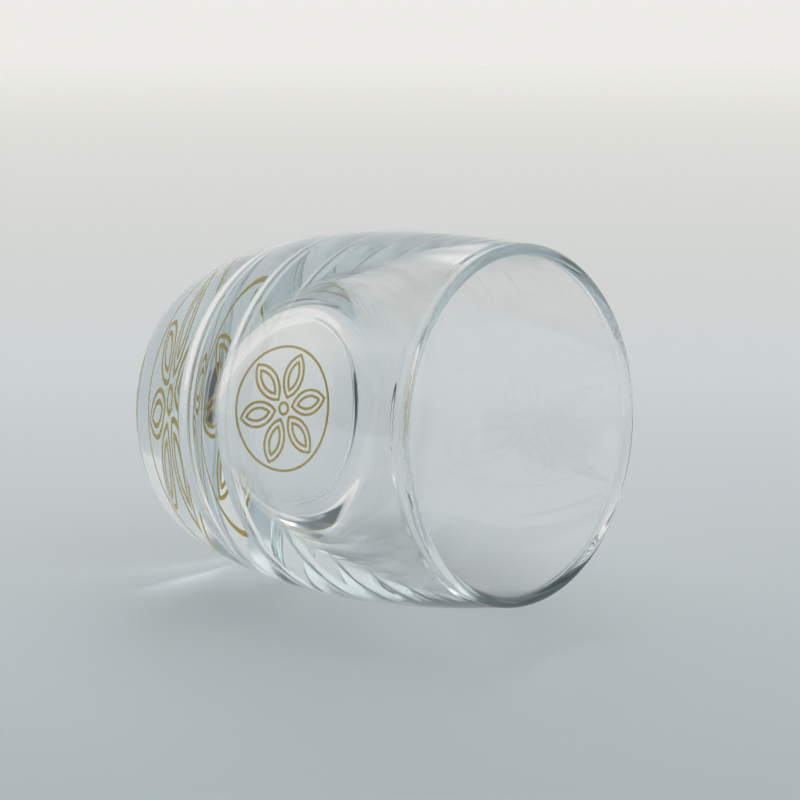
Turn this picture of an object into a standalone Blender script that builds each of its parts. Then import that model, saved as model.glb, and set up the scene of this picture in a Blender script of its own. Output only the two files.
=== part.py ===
"""Whisky tumbler: a barrel-shaped glass with a thick base and a gold print under its foot.

Metres, +Z up. The origin is the centre of the foot, on the plane that the glass stands on.
"""

import math

import bmesh
import bpy
from mathutils import Matrix, Vector
from mathutils.geometry import interpolate_bezier

MM = 0.001

# Outside of the glass: it bows out to the belly from the heel and from the rim
HEIGHT = 87.0 * MM
RIM_RADIUS = 37.6 * MM
BELLY_RADIUS = 40.9 * MM
BELLY_HEIGHT = 45.0 * MM
HEEL_RADIUS = 35.8 * MM
HEEL_HEIGHT = 6.0 * MM

# Foot: a narrow ring that carries the glass, round a shallow hollow with a sloping flank,
# and FLANK_ROUNDING is the share of the flank's width that rounds each of its edges
FOOT_RADIUS = 31.0 * MM
FOOT_RING_WIDTH = 1.5 * MM
HOLLOW_DEPTH = 0.95 * MM
HOLLOW_FLANK_WIDTH = 3.4 * MM
FLANK_ROUNDING = 0.2

# Lip: a fire-polished bead, a little thicker than the neck of the wall that runs into it
BEAD_RADIUS = 1.25 * MM
BEAD_UNDERCUT = math.radians(25)
NECK_LENGTH = 3.8 * MM
NECK_THICKNESS = 2.1 * MM

# Inside of the glass: the wall thickens from the neck down to the shoulder, where the
# fillet to the floor begins, and WALL_GROWTH is the power that it thickens with
SHOULDER_THICKNESS = 6.5 * MM
WALL_GROWTH = 2.0
BASE_THICKNESS = 15.0 * MM
FILLET_HEIGHT = 14.0 * MM
FILLET_WIDTH = 12.0 * MM

# Gold print: a rosette of petals in double lines, inside a ring
PRINT_RADIUS = 17.0 * MM
PRINT_LINE = 0.75 * MM
PRINT_THICKNESS = 0.1 * MM
PRINT_GAP = 0.02 * MM
CENTRE_RING_RADIUS = 1.9 * MM
PETAL_COUNT = 6
PETAL_TIP_CLEARANCE = 0.7 * MM
PETAL_SIDE_CLEARANCE = 0.8 * MM
PETAL_INSET = 1.6 * MM

# Surfaces
GLASS_COLOUR = (0.90, 0.95, 0.95)
GLASS_ROUGHNESS = 0.02
GLASS_IOR = 1.52
GOLD_COLOUR = (0.55, 0.38, 0.08)
GOLD_ROUGHNESS = 0.35
GOLD_METALLIC = 0.8

# How finely the round shapes are divided
GLASS_SEGMENTS = 64
SIDE_STEPS = 14
CURVE_STEPS = 6
RING_SEGMENTS = 48
PETAL_STEPS = 9
SHARP_ANGLE = math.radians(40)
MERGE_DISTANCE = 0.001 * MM

# A Bezier curve draws a quarter circle when its handles reach this share of the radius
QUARTER_HANDLE = 0.5523


def clear_scene():
    for old in list(bpy.data.objects):
        bpy.data.objects.remove(old)


def new_material(name, colour, roughness):
    """A plain material, and its shader for the values that only some materials need."""
    material = bpy.data.materials.new(name)
    material.use_nodes = True
    shader = material.node_tree.nodes["Principled BSDF"]
    shader.inputs["Base Color"].default_value = (*colour, 1.0)
    shader.inputs["Roughness"].default_value = roughness
    return material, shader


def clear_glass():
    material, shader = new_material("clear_glass", GLASS_COLOUR, GLASS_ROUGHNESS)
    shader.inputs["Transmission Weight"].default_value = 1.0
    shader.inputs["IOR"].default_value = GLASS_IOR
    return material


def fired_gold(node_name):
    material, shader = new_material(f"{node_name}_gold", GOLD_COLOUR, GOLD_ROUGHNESS)
    shader.inputs["Metallic"].default_value = GOLD_METALLIC
    return material


def add_object(name, builder, material, parent):
    """Turns a finished bmesh into a named object."""
    bmesh.ops.recalc_face_normals(builder, faces=builder.faces)
    mesh = bpy.data.meshes.new(name)
    builder.to_mesh(mesh)
    builder.free()
    mesh.shade_smooth()
    mesh.set_sharp_from_angle(angle=SHARP_ANGLE)
    mesh.materials.append(material)
    made = bpy.data.objects.new(name, mesh)
    made.parent = parent
    bpy.context.scene.collection.objects.link(made)


def bead_middle():
    """Centre of the bead's round, in the (radius, height) plane."""
    return Vector((RIM_RADIUS - BEAD_RADIUS, HEIGHT - BEAD_RADIUS))


def neck_height():
    return HEIGHT - NECK_LENGTH


def shoulder_height():
    return BASE_THICKNESS + FILLET_HEIGHT


def outer_radius(height):
    """Radius of the outside, which would meet the bead's height half a neck outside its centre."""
    if height < BELLY_HEIGHT:
        share = (BELLY_HEIGHT - height) / (BELLY_HEIGHT - HEEL_HEIGHT)
        return BELLY_RADIUS - (BELLY_RADIUS - HEEL_RADIUS) * share**2
    share = (height - BELLY_HEIGHT) / (bead_middle().y - BELLY_HEIGHT)
    neck_radius = bead_middle().x + NECK_THICKNESS / 2
    return BELLY_RADIUS - (BELLY_RADIUS - neck_radius) * share**2


def inner_radius(height):
    share = (bead_middle().y - height) / (bead_middle().y - shoulder_height())
    growth = (SHOULDER_THICKNESS - NECK_THICKNESS) * share**WALL_GROWTH
    return outer_radius(height) - NECK_THICKNESS - growth


def steps(start, end, count):
    """The values after start, in equal steps, ending at end."""
    return [start + (end - start) * i / count for i in range(1, count + 1)]


def along_wall(radius_at, height, rise):
    """The step in (radius, height) that follows a wall's slope from height by rise."""
    slope = (radius_at(height + MM) - radius_at(height)) / MM
    return Vector((slope * rise, rise))


def curve(start, start_handle, end_handle, end):
    """The points after start on a Bezier curve in the (radius, height) plane."""
    points = interpolate_bezier(start, start_handle, end_handle, end, CURVE_STEPS + 1)
    return [Vector((point[0], point[1])) for point in points[1:]]


def underside_profile():
    """From the axis out: the flat field for the print, the sloping flank, the bearing ring."""
    ring_edge = Vector((FOOT_RADIUS - FOOT_RING_WIDTH, 0.0))
    field_edge = Vector((ring_edge.x - HOLLOW_FLANK_WIDTH, HOLLOW_DEPTH))
    reach = Vector((FLANK_ROUNDING * HOLLOW_FLANK_WIDTH, 0.0))
    flank = curve(field_edge, field_edge + reach, ring_edge - reach, ring_edge)
    return [Vector((0.0, HOLLOW_DEPTH)), field_edge, *flank, Vector((FOOT_RADIUS, 0.0))]


def outside_profile():
    """From the foot's outer edge, round the heel and up the bowed side to the neck."""
    foot_edge = Vector((FOOT_RADIUS, 0.0))
    heel = Vector((HEEL_RADIUS, HEEL_HEIGHT))
    foot_handle = foot_edge + Vector((QUARTER_HANDLE * (heel.x - foot_edge.x), 0.0))
    heel_handle = heel - along_wall(outer_radius, heel.y, QUARTER_HANDLE * HEEL_HEIGHT)
    rounded_heel = curve(foot_edge, foot_handle, heel_handle, heel)
    heights = steps(HEEL_HEIGHT, neck_height(), SIDE_STEPS)
    return rounded_heel + [Vector((outer_radius(z), z)) for z in heights]


def lip_profile():
    """From the outside of the neck over the bead to the inside of the neck."""
    first_turn, last_turn = -BEAD_UNDERCUT, math.pi + BEAD_UNDERCUT
    turns = [first_turn, *steps(first_turn, last_turn, 2 * CURVE_STEPS)]
    bead = [bead_middle() + BEAD_RADIUS * Vector((math.cos(t), math.sin(t))) for t in turns]
    foot_of_neck = neck_height()
    reach = (bead[0].y - foot_of_neck) / 3
    up_bead = reach * Vector((math.sin(BEAD_UNDERCUT), math.cos(BEAD_UNDERCUT)))
    down_bead = reach * Vector((math.sin(BEAD_UNDERCUT), -math.cos(BEAD_UNDERCUT)))
    outside = Vector((outer_radius(foot_of_neck), foot_of_neck))
    inside = Vector((inner_radius(foot_of_neck), foot_of_neck))
    outside_handle = outside + along_wall(outer_radius, foot_of_neck, reach)
    inside_handle = inside + along_wall(inner_radius, foot_of_neck, reach)
    outer_neck = curve(outside, outside_handle, bead[0] - up_bead, bead[0])
    inner_neck = curve(bead[-1], bead[-1] + down_bead, inside_handle, inside)
    return [*outer_neck, *bead[1:], *inner_neck]


def bowl_profile():
    """From the neck down the inner wall, round the fillet and across the floor to the axis."""
    heights = steps(neck_height(), shoulder_height(), SIDE_STEPS)
    wall = [Vector((inner_radius(z), z)) for z in heights]
    shoulder = wall[-1]
    floor_edge = Vector((shoulder.x - FILLET_WIDTH, BASE_THICKNESS))
    reach = QUARTER_HANDLE * FILLET_HEIGHT
    shoulder_handle = shoulder - along_wall(inner_radius, shoulder.y, reach)
    floor_handle = floor_edge + Vector((QUARTER_HANDLE * FILLET_WIDTH, 0.0))
    fillet = curve(shoulder, shoulder_handle, floor_handle, floor_edge)
    return [*wall, *fillet, Vector((0.0, BASE_THICKNESS))]


def make_tumbler(parent):
    """The glass itself: its half section turned once round the axis."""
    profile = underside_profile() + outside_profile() + lip_profile() + bowl_profile()
    builder = bmesh.new()
    corners = [builder.verts.new((point.x, 0.0, point.y)) for point in profile]
    section = [builder.edges.new(pair) for pair in zip(corners, corners[1:])]
    bmesh.ops.spin(
        builder,
        geom=corners + section,
        cent=(0.0, 0.0, 0.0),
        axis=(0.0, 0.0, 1.0),
        angle=math.tau,
        steps=GLASS_SEGMENTS,
        use_merge=True,
    )
    bmesh.ops.remove_doubles(builder, verts=builder.verts, dist=MERGE_DISTANCE)
    add_object("tumbler", builder, clear_glass(), parent)


def circle_outline(radius):
    turns = steps(0.0, math.tau, RING_SEGMENTS)
    return [Vector((radius * math.cos(t), radius * math.sin(t))) for t in turns]


def petal_reach():
    """How far a petal's middle lies from the axis, and half its length between the rings."""
    inner_tip = CENTRE_RING_RADIUS + PETAL_TIP_CLEARANCE
    outer_tip = PRINT_RADIUS - PRINT_LINE - PETAL_TIP_CLEARANCE
    return (inner_tip + outer_tip) / 2, (outer_tip - inner_tip) / 2


def petal_half_width():
    """Half the width that keeps the side clearance between two neighbours.

    Each side is an arc through both tips. It is widest where it still passes the line midway to
    the next petal at half the clearance, which is the larger root of a quadratic.
    """
    middle, half_length = petal_reach()
    half_angle = math.pi / PETAL_COUNT
    room = 2 * middle * math.sin(half_angle) - PETAL_SIDE_CLEARANCE
    spread = math.sqrt(room**2 - (2 * half_length * math.sin(half_angle)) ** 2)
    return (room + spread) / (2 * (1 + math.cos(half_angle)))


def petal_outline(shrink):
    """A petal along +X, of two arcs that meet in points, with both arcs moved in by shrink."""
    _, half_length = petal_reach()
    half_width = petal_half_width()
    full_radius = (half_length**2 + half_width**2) / (2 * half_width)
    centre_offset = full_radius - half_width
    radius = full_radius - shrink
    tip_turn = math.acos(centre_offset / radius)
    turns = steps(-tip_turn, tip_turn, PETAL_STEPS)
    side = [
        Vector((radius * math.sin(turn), radius * math.cos(turn) - centre_offset))
        for turn in turns
    ]
    return side + [-point for point in side]


def make_print_line(name, outline, inner_outline, placement, parent):
    """One closed gold line under the foot, between two outlines."""
    builder = bmesh.new()
    loops = []
    for loop in (outline, inner_outline):
        top = HOLLOW_DEPTH - PRINT_GAP
        corners = [builder.verts.new((point.x, point.y, top)) for point in loop]
        pairs = zip(corners, corners[1:] + corners[:1])
        loops += [builder.edges.new(pair) for pair in pairs]
    bmesh.ops.bridge_loops(builder, edges=loops)
    extruded = bmesh.ops.extrude_face_region(builder, geom=builder.faces[:])["geom"]
    moved = [item for item in extruded if isinstance(item, bmesh.types.BMVert)]
    bmesh.ops.translate(builder, verts=moved, vec=(0.0, 0.0, -PRINT_THICKNESS))
    bmesh.ops.transform(builder, verts=builder.verts, matrix=placement)
    add_object(name, builder, fired_gold(name), parent)


def make_print_ring(name, radius, parent):
    outlines = circle_outline(radius), circle_outline(radius - PRINT_LINE)
    make_print_line(name, *outlines, Matrix.Identity(4), parent)


def make_print_petal(name, number, shrink, parent):
    outlines = petal_outline(shrink), petal_outline(shrink + PRINT_LINE)
    turn = Matrix.Rotation(math.tau * (number - 1) / PETAL_COUNT, 4, "Z")
    outward = Matrix.Translation((petal_reach()[0], 0.0, 0.0))
    make_print_line(f"{name}_{number}", *outlines, turn @ outward, parent)


def make_print(parent):
    """The rosette: an outer ring, a centre ring, and petals drawn in double lines."""
    make_print_ring("print_outer_ring", PRINT_RADIUS, parent)
    make_print_ring("print_centre_ring", CENTRE_RING_RADIUS, parent)
    for number in range(1, PETAL_COUNT + 1):
        make_print_petal("print_petal", number, 0.0, parent)
        make_print_petal("print_petal_core", number, PETAL_INSET, parent)


clear_scene()
whole = bpy.data.objects.new("whisky_glass", None)
bpy.context.scene.collection.objects.link(whole)
make_tumbler(whole)
make_print(whole)
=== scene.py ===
"""Looks of the whisky tumbler: clear glass with a gold rosette under its foot.

The glass stands upright in its own frame. The photograph shows it lying on its side, so the
camera is rolled and the studio floor touches the side of the glass.
"""

import math

import bmesh
import bpy
from mathutils import Matrix, Vector
from mathutils.geometry import interpolate_bezier


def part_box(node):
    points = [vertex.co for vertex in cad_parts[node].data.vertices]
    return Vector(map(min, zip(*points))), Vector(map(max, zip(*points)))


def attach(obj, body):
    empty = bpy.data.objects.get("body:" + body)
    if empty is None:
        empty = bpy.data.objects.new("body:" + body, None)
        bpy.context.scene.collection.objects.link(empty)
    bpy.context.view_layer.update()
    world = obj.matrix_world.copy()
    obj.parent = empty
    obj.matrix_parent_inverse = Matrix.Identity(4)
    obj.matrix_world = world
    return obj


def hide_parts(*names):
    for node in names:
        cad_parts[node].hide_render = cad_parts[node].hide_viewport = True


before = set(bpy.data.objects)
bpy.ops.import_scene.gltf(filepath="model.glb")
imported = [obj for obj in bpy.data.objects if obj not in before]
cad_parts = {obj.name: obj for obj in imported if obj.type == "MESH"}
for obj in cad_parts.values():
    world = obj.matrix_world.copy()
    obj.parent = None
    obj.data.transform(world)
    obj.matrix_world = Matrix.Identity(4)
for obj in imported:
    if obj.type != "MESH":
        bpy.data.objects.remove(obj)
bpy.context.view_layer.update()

# Tumbler
# One gather of soda-lime glass, blown into a barrel mould and fire-polished, which leaves a
# small bead at the lip. The base is left thick, the wall thins towards the mouth, and the
# foot stands on a narrow ring round a shallow hollow.
MM = 0.001
BELLY_RADIUS, _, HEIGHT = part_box("tumbler")[1]
BELLY_HEIGHT = 45.0 * MM
RIM_RADIUS = 37.6 * MM
HEEL_RADIUS = 35.8 * MM
HEEL_HEIGHT = 6.0 * MM
FOOT_RADIUS = 31.0 * MM
FOOT_RING_WIDTH = 1.5 * MM
HOLLOW_DEPTH = 0.95 * MM
HOLLOW_FLANK_WIDTH = 3.4 * MM
FLANK_ROUNDING = 0.2
BEAD_RADIUS = 1.25 * MM
BEAD_UNDERCUT = math.radians(25)
NECK_LENGTH = 3.8 * MM
NECK_THICKNESS = 2.1 * MM
SHOULDER_THICKNESS = 6.5 * MM
WALL_GROWTH = 2.0
BASE_THICKNESS = 15.0 * MM
FILLET_HEIGHT = 14.0 * MM
FILLET_WIDTH = 12.0 * MM
LIP_HEIGHT = HEIGHT - BEAD_RADIUS
NECK_HEIGHT = HEIGHT - NECK_LENGTH
NECK_RADIUS = RIM_RADIUS - BEAD_RADIUS + NECK_THICKNESS / 2
SHOULDER_HEIGHT = BASE_THICKNESS + FILLET_HEIGHT
GLASS_SEGMENTS = 384
SIDE_STEPS = 40
CURVE_STEPS = 24
QUARTER_HANDLE = 0.5523
MERGE_DISTANCE = 0.0005 * MM


def outer_radius(height):
    """Radius of the outside, which bows out to the belly from the heel and from the rim."""
    if height < BELLY_HEIGHT:
        share = (BELLY_HEIGHT - height) / (BELLY_HEIGHT - HEEL_HEIGHT)
        return BELLY_RADIUS - (BELLY_RADIUS - HEEL_RADIUS) * share**2
    share = (height - BELLY_HEIGHT) / (LIP_HEIGHT - BELLY_HEIGHT)
    return BELLY_RADIUS - (BELLY_RADIUS - NECK_RADIUS) * share**2


def inner_radius(height):
    """Radius of the bowl, whose wall thickens from the lip down to the shoulder."""
    share = (LIP_HEIGHT - height) / (LIP_HEIGHT - SHOULDER_HEIGHT)
    growth = (SHOULDER_THICKNESS - NECK_THICKNESS) * share**WALL_GROWTH
    return outer_radius(height) - NECK_THICKNESS - growth


def steps(start, end, count):
    """The values after start, in equal steps, ending at end."""
    return [start + (end - start) * i / count for i in range(1, count + 1)]


def along_wall(radius_at, height, rise):
    """The step in (radius, height) that follows a wall's slope from height by rise."""
    slope = (radius_at(height + MM) - radius_at(height)) / MM
    return Vector((slope * rise, rise))


def curve(start, start_handle, end_handle, end):
    """The points after start on a Bezier curve in the (radius, height) plane."""
    points = interpolate_bezier(start, start_handle, end_handle, end, CURVE_STEPS + 1)
    return [Vector((point[0], point[1])) for point in points[1:]]


def underside_profile():
    """The hollow under the foot, its sloping flank, and the ring that the glass stands on."""
    ring_edge = Vector((FOOT_RADIUS - FOOT_RING_WIDTH, 0.0))
    field_edge = Vector((ring_edge.x - HOLLOW_FLANK_WIDTH, HOLLOW_DEPTH))
    rounding = Vector((FLANK_ROUNDING * HOLLOW_FLANK_WIDTH, 0.0))
    flank = curve(field_edge, field_edge + rounding, ring_edge - rounding, ring_edge)
    return [Vector((0.0, HOLLOW_DEPTH)), field_edge, *flank, Vector((FOOT_RADIUS, 0.0))]


def outside_profile():
    """The rounded heel and the barrel side, up to the neck under the lip."""
    foot_edge = Vector((FOOT_RADIUS, 0.0))
    heel = Vector((HEEL_RADIUS, HEEL_HEIGHT))
    foot_handle = foot_edge + Vector((QUARTER_HANDLE * (heel.x - foot_edge.x), 0.0))
    heel_handle = heel - along_wall(outer_radius, heel.y, QUARTER_HANDLE * HEEL_HEIGHT)
    rounded_heel = curve(foot_edge, foot_handle, heel_handle, heel)
    heights = steps(HEEL_HEIGHT, NECK_HEIGHT, SIDE_STEPS)
    return rounded_heel + [Vector((outer_radius(z), z)) for z in heights]


def lip_profile():
    """The bead of the lip, with a soft neck where the wall runs into it on both sides."""
    middle = Vector((RIM_RADIUS - BEAD_RADIUS, LIP_HEIGHT))
    turns = [-BEAD_UNDERCUT, *steps(-BEAD_UNDERCUT, math.pi + BEAD_UNDERCUT, 2 * CURVE_STEPS)]
    bead = [middle + BEAD_RADIUS * Vector((math.cos(t), math.sin(t))) for t in turns]
    outside = Vector((outer_radius(NECK_HEIGHT), NECK_HEIGHT))
    inside = Vector((inner_radius(NECK_HEIGHT), NECK_HEIGHT))
    reach = (bead[0].y - NECK_HEIGHT) / 3
    out_of_bead = reach * Vector((math.sin(BEAD_UNDERCUT), -math.cos(BEAD_UNDERCUT)))
    into_bead = reach * Vector((math.sin(BEAD_UNDERCUT), math.cos(BEAD_UNDERCUT)))
    outer_handle = outside + along_wall(outer_radius, NECK_HEIGHT, reach)
    inner_handle = inside + along_wall(inner_radius, NECK_HEIGHT, reach)
    outer_neck = curve(outside, outer_handle, bead[0] - into_bead, bead[0])
    inner_neck = curve(bead[-1], bead[-1] + out_of_bead, inner_handle, inside)
    return [*outer_neck, *bead[1:], *inner_neck]


def bowl_profile():
    """The inside wall down from the neck, the fillet, and the floor of the bowl."""
    heights = steps(NECK_HEIGHT, SHOULDER_HEIGHT, SIDE_STEPS)
    wall = [Vector((inner_radius(z), z)) for z in heights]
    shoulder = wall[-1]
    floor_edge = Vector((shoulder.x - FILLET_WIDTH, BASE_THICKNESS))
    reach = QUARTER_HANDLE * FILLET_HEIGHT
    shoulder_handle = shoulder - along_wall(inner_radius, shoulder.y, reach)
    floor_handle = floor_edge + Vector((QUARTER_HANDLE * FILLET_WIDTH, 0.0))
    fillet = curve(shoulder, shoulder_handle, floor_handle, floor_edge)
    return [*wall, *fillet, Vector((0.0, BASE_THICKNESS))]


def hex_colour(code):
    """A linear colour from its sRGB hex code."""
    channels = [int(code[i : i + 2], 16) / 255 for i in (1, 3, 5)]
    linear = [c / 12.92 if c <= 0.04045 else ((c + 0.055) / 1.055) ** 2.4 for c in channels]
    return (*linear, 1.0)


def new_material(name):
    """A material with an empty node tree."""
    material = bpy.data.materials.new(name)
    material.use_nodes = True
    material.node_tree.nodes.clear()
    return material, material.node_tree


def add_node(tree, kind, settings=None, in_order=(), **named):
    """Adds a node. Its inputs, in order or by name, take a value or a link from a socket."""
    node = tree.nodes.new(kind)
    for key, value in (settings or {}).items():
        setattr(node, key, value)
    inputs = list(zip(node.inputs, in_order))
    inputs += [(node.inputs[key.replace("_", " ")], value) for key, value in named.items()]
    for socket, value in inputs:
        if isinstance(value, bpy.types.NodeSocket):
            tree.links.new(value, socket)
        else:
            socket.default_value = value
    return node


def add_piece(name, builder, material):
    """Turns a finished bmesh into a smooth object that rides on the one body."""
    bmesh.ops.remove_doubles(builder, verts=builder.verts, dist=MERGE_DISTANCE)
    bmesh.ops.recalc_face_normals(builder, faces=builder.faces)
    mesh = bpy.data.meshes.new(name)
    builder.to_mesh(mesh)
    builder.free()
    mesh.shade_smooth()
    mesh.materials.append(material)
    piece = bpy.data.objects.new(name, mesh)
    bpy.context.scene.collection.objects.link(piece)
    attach(piece, "root")
    return piece


def soda_lime_glass():
    """Fire-polished soda-lime glass: clear, with a cool tint where it is thick.

    The mould leaves waves too shallow to feel, which bend what is seen through the wall.
    """
    wave_length = 11.0 * MM
    wave_height = 0.003 * MM
    material, tree = new_material("fire_polished_soda_lime_glass")
    place = add_node(tree, "ShaderNodeTexCoord").outputs["Object"]
    waves = add_node(tree, "ShaderNodeTexNoise", Vector=place, Scale=1 / wave_length, Detail=1.0)
    bump = add_node(tree, "ShaderNodeBump", Height=waves.outputs["Fac"], Distance=wave_height)
    shader = add_node(
        tree,
        "ShaderNodeBsdfPrincipled",
        Base_Color=hex_colour("#FFFFFF"),
        Roughness=0.0,
        IOR=1.52,
        Transmission_Weight=1.0,
        Normal=bump.outputs["Normal"],
    )
    tint = add_node(
        tree, "ShaderNodeVolumeAbsorption", Color=hex_colour("#B8CED1"), Density=6.0
    )
    add_node(
        tree,
        "ShaderNodeOutputMaterial",
        Surface=shader.outputs["BSDF"],
        Volume=tint.outputs["Volume"],
    )
    return material


glass_builder = bmesh.new()
glass_profile = underside_profile() + outside_profile() + lip_profile() + bowl_profile()
corners = [glass_builder.verts.new((point.x, 0.0, point.y)) for point in glass_profile]
section = [glass_builder.edges.new(pair) for pair in zip(corners, corners[1:])]
bmesh.ops.spin(
    glass_builder,
    geom=corners + section,
    cent=(0.0, 0.0, 0.0),
    axis=(0.0, 0.0, 1.0),
    angle=math.tau,
    steps=GLASS_SEGMENTS,
    use_merge=True,
)
tumbler = add_piece("polished_tumbler", glass_builder, soda_lime_glass())
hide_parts("tumbler")

# Gold rosette
# A traditional compass rosette in gold lustre: screen-printed as a transfer, slid onto the
# hollow under the foot and fired, so the film is fused to the glass and is seen through it.
PRINT_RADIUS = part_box("print_outer_ring")[1][0]
PRINT_LINE = 0.75 * MM
FILM_BELOW = 0.10 * MM
FILM_ABOVE = 0.015 * MM
CENTRE_RING_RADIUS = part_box("print_centre_ring")[1][0]
PETAL_COUNT = 6
PETAL_TIP_CLEARANCE = 0.7 * MM
PETAL_SIDE_CLEARANCE = 0.8 * MM
PETAL_INSET = 1.6 * MM
RING_SEGMENTS = 160
PETAL_STEPS = 28
FILM_EDGE_ANGLE = math.radians(40)


def fired_gold():
    """Fired gold lustre: a warm metal film, a little uneven where the screen laid it down."""
    grain = 0.35 * MM
    shades = (0.3, "#B8981C"), (0.7, "#DCC24A")
    material, tree = new_material("fired_gold_lustre")
    place = add_node(tree, "ShaderNodeTexCoord").outputs["Object"]
    mottle = add_node(tree, "ShaderNodeTexNoise", Vector=place, Scale=1 / grain, Detail=3.0)
    colour = add_node(tree, "ShaderNodeValToRGB", Fac=mottle.outputs["Fac"])
    for stop, (position, code) in zip(colour.color_ramp.elements, shades):
        stop.position = position
        stop.color = hex_colour(code)
    sheen = add_node(
        tree, "ShaderNodeMapRange", Value=mottle.outputs["Fac"], To_Min=0.28, To_Max=0.48
    )
    shader = add_node(
        tree,
        "ShaderNodeBsdfPrincipled",
        Base_Color=colour.outputs["Color"],
        Metallic=0.8,
        Roughness=sheen.outputs["Result"],
    )
    add_node(tree, "ShaderNodeOutputMaterial", Surface=shader.outputs["BSDF"])
    return material


def circle_outline(radius):
    """The points of a circle round the axis."""
    turns = steps(0.0, math.tau, RING_SEGMENTS)
    return [Vector((radius * math.cos(t), radius * math.sin(t))) for t in turns]


def petal_reach():
    """How far a petal's middle lies from the axis, and half its length between the rings."""
    inner_tip = CENTRE_RING_RADIUS + PETAL_TIP_CLEARANCE
    outer_tip = PRINT_RADIUS - PRINT_LINE - PETAL_TIP_CLEARANCE
    return (inner_tip + outer_tip) / 2, (outer_tip - inner_tip) / 2


def petal_half_width():
    """Half the width at which a petal's side arcs keep the clearance to the next petal."""
    middle, half_length = petal_reach()
    half_angle = math.pi / PETAL_COUNT
    room = 2 * middle * math.sin(half_angle) - PETAL_SIDE_CLEARANCE
    spread = math.sqrt(room**2 - (2 * half_length * math.sin(half_angle)) ** 2)
    return (room + spread) / (2 * (1 + math.cos(half_angle)))


def petal_outline(shrink):
    """A petal along +X, of two arcs that meet in points, with both arcs moved in by shrink."""
    half_length = petal_reach()[1]
    half_width = petal_half_width()
    full_radius = (half_length**2 + half_width**2) / (2 * half_width)
    centre_offset = full_radius - half_width
    radius = full_radius - shrink
    tip_turn = math.acos(centre_offset / radius)
    side = [
        Vector((radius * math.sin(turn), radius * math.cos(turn) - centre_offset))
        for turn in steps(-tip_turn, tip_turn, PETAL_STEPS)
    ]
    return side + [-point for point in side]


def add_gold_line(name, node, outlines, placement, material):
    """One closed gold line between two outlines, which stands for its CAD node."""
    builder = bmesh.new()
    loops = []
    for outline in outlines:
        ring = [builder.verts.new((p.x, p.y, HOLLOW_DEPTH + FILM_ABOVE)) for p in outline]
        loops += [builder.edges.new(pair) for pair in zip(ring, ring[1:] + ring[:1])]
    bmesh.ops.bridge_loops(builder, edges=loops)
    extruded = bmesh.ops.extrude_face_region(builder, geom=builder.faces[:])["geom"]
    lowered = [item for item in extruded if isinstance(item, bmesh.types.BMVert)]
    bmesh.ops.translate(builder, verts=lowered, vec=(0.0, 0.0, -FILM_ABOVE - FILM_BELOW))
    bmesh.ops.transform(builder, verts=builder.verts, matrix=placement)
    line = add_piece(name, builder, material)
    line.data.set_sharp_from_angle(angle=FILM_EDGE_ANGLE)
    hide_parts(node)


gold = fired_gold()
for place_name, radius in (("outer", PRINT_RADIUS), ("centre", CENTRE_RING_RADIUS)):
    outlines = circle_outline(radius), circle_outline(radius - PRINT_LINE)
    node = f"print_{place_name}_ring"
    add_gold_line(f"gold_{place_name}_ring", node, outlines, Matrix.Identity(4), gold)
for number in range(1, PETAL_COUNT + 1):
    turn = Matrix.Rotation(math.tau * (number - 1) / PETAL_COUNT, 4, "Z")
    placement = turn @ Matrix.Translation((petal_reach()[0], 0.0, 0.0))
    for kind, shrink in (("petal", 0.0), ("petal_core", PETAL_INSET)):
        outlines = petal_outline(shrink), petal_outline(shrink + PRINT_LINE)
        node = f"print_{kind}_{number}"
        add_gold_line(f"gold_{kind}_{number}", node, outlines, placement, gold)

# Camera
# The photograph's view: from above the mouth, with the picture's up along the glass's -Y
# side, so the upright glass shows lying on its +Y side with its mouth to the right.
CAMERA_PLACE = Vector((281.26, -65.81, 319.97)) * MM
CAMERA_RIGHT = Vector((-0.678571, 0.083152, 0.729813)).normalized()
CAMERA_UP = Vector((-0.171615, -0.984021, -0.047451)).normalized()
CAMERA_LENS = 81.0
CAMERA_SENSOR = 36.0

camera_back = CAMERA_RIGHT.cross(CAMERA_UP)
camera_data = bpy.data.cameras.new("camera")
camera_data.lens = CAMERA_LENS
camera_data.sensor_width = CAMERA_SENSOR
camera = bpy.data.objects.new("camera", camera_data)
turned = Matrix((CAMERA_RIGHT, CAMERA_UP, camera_back)).transposed()
camera.matrix_world = Matrix.Translation(CAMERA_PLACE) @ turned.to_4x4()
bpy.context.scene.collection.objects.link(camera)
bpy.context.scene.camera = camera

# Studio floor
# Pale matt paper that the side of the glass lies on. A painted light falloff makes it warm and
# light far away and cool and darker near the camera. It fades out at its edge, and doesn't
# show from behind.
LYING_TILT = math.radians(6.5)
PAPER_RADIUS = 3.5
PAPER_SEGMENTS = 96
PAPER_FADE_START = 1.0
PAPER_FADE_END = 3.0
# Painted light falloff on the pale paper, by depth along the floor: darker near the camera,
# lighter far away
PAPER_PAINTED_FALLOFF = (
    (-0.10, "#ADB6B9"),
    (0.00, "#B8BEC0"),
    (0.11, "#C0C5C7"),
    (0.22, "#C7CCCD"),
    (0.37, "#C9CBCA"),
    (0.82, "#CDCDC9"),
    (1.30, "#CECDC9"),
)

floor_up = Vector((0.0, -math.cos(LYING_TILT), math.sin(LYING_TILT)))
floor_drop = max(
    point.x * math.cos(LYING_TILT) - point.y * math.sin(LYING_TILT) for point in glass_profile
)
floor_ahead = -camera_back + camera_back.dot(floor_up) * floor_up
floor_ahead.normalize()
floor_right = floor_ahead.cross(floor_up)
glass_middle = Vector((0.0, 0.0, HEIGHT / 2))
floor_centre = glass_middle - (glass_middle.dot(floor_up) + floor_drop) * floor_up
floor_turn = Matrix((floor_right, floor_ahead, floor_up)).transposed().to_4x4()


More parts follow.
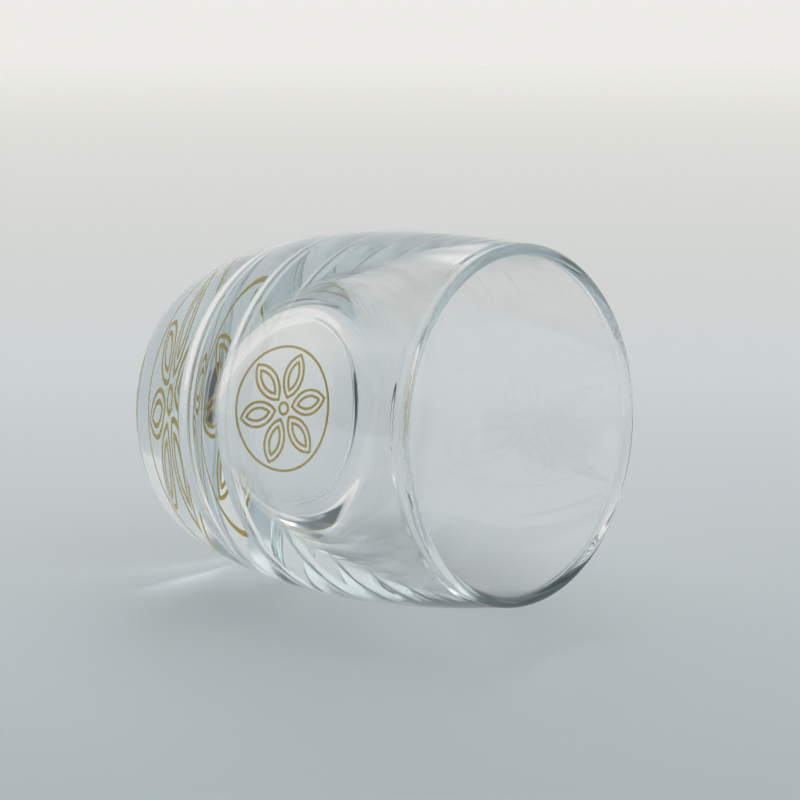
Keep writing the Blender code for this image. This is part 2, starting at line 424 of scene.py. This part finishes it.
def paper_with_painted_falloff():
    """Matt studio paper with painted light falloff: darker and cool near, light and warm far
    away.
    """
    material, tree = new_material("paper_with_painted_falloff")
    place = add_node(tree, "ShaderNodeTexCoord").outputs["Object"]
    depth = add_node(tree, "ShaderNodeSeparateXYZ", Vector=place).outputs["Y"]
    nearest, furthest = PAPER_PAINTED_FALLOFF[0][0], PAPER_PAINTED_FALLOFF[-1][0]
    share = add_node(
        tree, "ShaderNodeMapRange", Value=depth, From_Min=nearest, From_Max=furthest
    )
    # Painted light falloff: the paper's colour by depth stands in for how the lamps light it
    painted_falloff = add_node(tree, "ShaderNodeValToRGB", Fac=share.outputs["Result"])
    stops = painted_falloff.color_ramp.elements
    given_stops = len(stops)
    for index, (at_depth, code) in enumerate(PAPER_PAINTED_FALLOFF):
        position = (at_depth - nearest) / (furthest - nearest)
        stop = stops[index] if index < given_stops else stops.new(position)
        stop.position = position
        stop.color = hex_colour(code)
    paper = add_node(
        tree, "ShaderNodeBsdfDiffuse", Color=painted_falloff.outputs["Color"], Roughness=0.6
    )
    reach = add_node(tree, "ShaderNodeVectorMath", {"operation": "LENGTH"}, Vector=place)
    fade = add_node(
        tree,
        "ShaderNodeMapRange",
        {"interpolation_type": "SMOOTHSTEP"},
        Value=reach.outputs["Value"],
        From_Min=PAPER_FADE_START,
        From_Max=PAPER_FADE_END,
    )
    behind = add_node(tree, "ShaderNodeNewGeometry").outputs["Backfacing"]
    hidden = add_node(
        tree, "ShaderNodeMath", {"operation": "MAXIMUM"}, (fade.outputs["Result"], behind)
    )
    clear = add_node(tree, "ShaderNodeBsdfTransparent")
    parts = hidden.outputs["Value"], paper.outputs["BSDF"], clear.outputs["BSDF"]
    mix = add_node(tree, "ShaderNodeMixShader", in_order=parts)
    add_node(tree, "ShaderNodeOutputMaterial", Surface=mix.outputs["Shader"])
    return material


floor_builder = bmesh.new()
bmesh.ops.create_circle(
    floor_builder, cap_ends=True, segments=PAPER_SEGMENTS, radius=PAPER_RADIUS
)
floor_mesh = bpy.data.meshes.new("paper_floor")
floor_builder.to_mesh(floor_mesh)
floor_builder.free()
floor_mesh.materials.append(paper_with_painted_falloff())
floor = bpy.data.objects.new("paper_floor", floor_mesh)
floor.matrix_world = Matrix.Translation(floor_centre) @ floor_turn
bpy.context.scene.collection.objects.link(floor)

# Studio light
# Soft panels in a pale room: an overhead diffuser and a back lamp light the paper, a window
# lies over the camera's right shoulder, and dark flags draw the edges of the glass.


def through_glass(tree):
    """1 for what the camera sees in the glass, and 0 for light on its way to the paper."""
    path = add_node(tree, "ShaderNodeLightPath").outputs
    bends = path["Is Transmission Ray"], path["Is Glossy Ray"]
    bent = add_node(tree, "ShaderNodeMath", {"operation": "MAXIMUM"}, bends)
    only_view = {"operation": "SUBTRACT", "use_clamp": True}
    off_paper = bent.outputs["Value"], path["Diffuse Depth"]
    return add_node(tree, "ShaderNodeMath", only_view, off_paper).outputs["Value"]


def mirrored_in_glass(tree):
    """1 for what the camera sees by a reflection in or on the glass, and 0 for the rest."""
    path = add_node(tree, "ShaderNodeLightPath").outputs
    only_view = {"operation": "SUBTRACT", "use_clamp": True}
    off_paper = path["Glossy Depth"], path["Diffuse Depth"]
    return add_node(tree, "ShaderNodeMath", only_view, off_paper).outputs["Value"]


def soft_panel(name, code, strength, solid_share, use):
    """Cloth with an even glow over the middle, which fades out to the edge.

    A lamp only lights the paper, a card only shows in the glass, a flag only shows in the
    reflections there, and a window does all of these.
    """
    material, tree = new_material(name)
    place = add_node(tree, "ShaderNodeTexCoord").outputs["Object"]
    reach = add_node(tree, "ShaderNodeVectorMath", {"operation": "LENGTH"}, Vector=place)
    fade = add_node(
        tree,
        "ShaderNodeMapRange",
        {"interpolation_type": "SMOOTHSTEP"},
        Value=reach.outputs["Value"],
        From_Min=solid_share / 2,
        From_Max=0.5,
    )
    unseen = 0.0
    if use == "lamp":
        unseen = through_glass(tree)
    if use in ("card", "flag"):
        seen = through_glass(tree) if use == "card" else mirrored_in_glass(tree)
        rest = add_node(tree, "ShaderNodeMath", {"operation": "SUBTRACT"}, (1.0, seen))
        unseen = rest.outputs["Value"]
    hidden = add_node(
        tree, "ShaderNodeMath", {"operation": "MAXIMUM"}, (fade.outputs["Result"], unseen)
    )
    glow = add_node(tree, "ShaderNodeEmission", Color=hex_colour(code), Strength=strength)
    clear = add_node(tree, "ShaderNodeBsdfTransparent")
    parts = hidden.outputs["Value"], glow.outputs["Emission"], clear.outputs["BSDF"]
    mix = add_node(tree, "ShaderNodeMixShader", in_order=parts)
    add_node(tree, "ShaderNodeOutputMaterial", Surface=mix.outputs["Shader"])
    return material


def add_panel(name, material, distance, direction, spread, lights_paper=False):
    """A panel that faces the glass, by its direction and its spread across and up in degrees.

    Directions are as the camera looks: ahead is 0, right is 90, and then the height.
    """
    across, up = (math.radians(angle) for angle in direction)
    level = math.sin(across) * floor_right + math.cos(across) * floor_ahead
    back = math.cos(up) * level + math.sin(up) * floor_up
    side = floor_up.cross(back).normalized()
    width, height = (2 * distance * math.tan(math.radians(angle / 2)) for angle in spread)
    builder = bmesh.new()
    bmesh.ops.create_grid(builder, x_segments=1, y_segments=1, size=0.5)
    mesh = bpy.data.meshes.new(name)
    builder.to_mesh(mesh)
    builder.free()
    mesh.materials.append(material)
    panel = bpy.data.objects.new(name, mesh)
    turned = Matrix((side, back.cross(side), back)).transposed().to_4x4()
    stretched = Matrix.Diagonal((width, height, 1.0, 1.0))
    panel.matrix_world = Matrix.Translation(glass_middle + distance * back) @ turned @ stretched
    panel.visible_camera = False
    panel.visible_diffuse = lights_paper
    panel.visible_shadow = False
    bpy.context.scene.collection.objects.link(panel)


overhead_silk = soft_panel("overhead_silk", "#FFFFFF", strength=2.2, solid_share=0.5, use="lamp")
lamp_silk = soft_panel("lamp_silk", "#FFFFFF", strength=5.5, solid_share=0.3, use="lamp")
glint_silk = soft_panel("glint_silk", "#FFFFFF", strength=2.0, solid_share=0.5, use="card")
window_silk = soft_panel("window_silk", "#FFFFFF", strength=1.4, solid_share=0.5, use="window")
ceiling_cloth = soft_panel("ceiling_cloth", "#5E686C", strength=1.0, solid_share=0.63, use="flag")
side_cloth = soft_panel("side_cloth", "#CDD3D8", strength=1.0, solid_share=0.5, use="flag")
rear_cloth = soft_panel("rear_cloth", "#343D41", strength=1.0, solid_share=0.6, use="flag")
edge_cloth = soft_panel("edge_cloth", "#20262A", strength=1.0, solid_share=0.72, use="card")

add_panel("overhead_diffuser", overhead_silk, 4.0, (10, 75), (100, 90), lights_paper=True)
add_panel("back_lamp", lamp_silk, 3.8, (2, 50), (40, 32), lights_paper=True)
add_panel("key_window", window_silk, 3.9, (118, 52), (44, 30), lights_paper=True)
add_panel("lamp_glint", glint_silk, 3.7, (-4, 42), (18, 16))
add_panel("ceiling_flag", ceiling_cloth, 5.0, (0, 80), (110, 80))
add_panel("side_flag", side_cloth, 5.2, (125, 15), (100, 70))
add_panel("rear_flag", rear_cloth, 4.8, (-155, 20), (110, 90))
add_panel("left_flag", rear_cloth, 4.6, (-110, 15), (56, 74))
add_panel("edge_card", edge_cloth, 0.3, (122, 1), (62, 26))

# The room: a backdrop for the camera, a like one in the glass, and a dimmer fill for the paper
world = bpy.data.worlds.new("pale_room")
bpy.context.scene.world = world
world.use_nodes = True
sky = world.node_tree
sky.nodes.clear()
backdrop = add_node(sky, "ShaderNodeBackground", Color=hex_colour("#EDECE8"), Strength=1.0)
room = add_node(sky, "ShaderNodeBackground", Color=hex_colour("#EEEDEA"), Strength=1.0)
fill = add_node(sky, "ShaderNodeBackground", Color=hex_colour("#F6F8F9"), Strength=0.45)
parts = through_glass(sky), fill.outputs["Background"], room.outputs["Background"]
indoors = add_node(sky, "ShaderNodeMixShader", in_order=parts)
from_camera = add_node(sky, "ShaderNodeLightPath").outputs["Is Camera Ray"]
parts = from_camera, indoors.outputs["Shader"], backdrop.outputs["Background"]
shown = add_node(sky, "ShaderNodeMixShader", in_order=parts)
add_node(sky, "ShaderNodeOutputWorld", Surface=shown.outputs["Shader"])

scene = bpy.context.scene
scene.view_settings.view_transform = "Standard"
# Light crosses the thick base many times before it leaves
scene.cycles.max_bounces = 64
scene.cycles.glossy_bounces = 48
scene.cycles.transmission_bounces = 48
scene.cycles.transparent_max_bounces = 16
# Light that the glass focuses on the paper stays sharp
scene.cycles.blur_glossy = 0.0
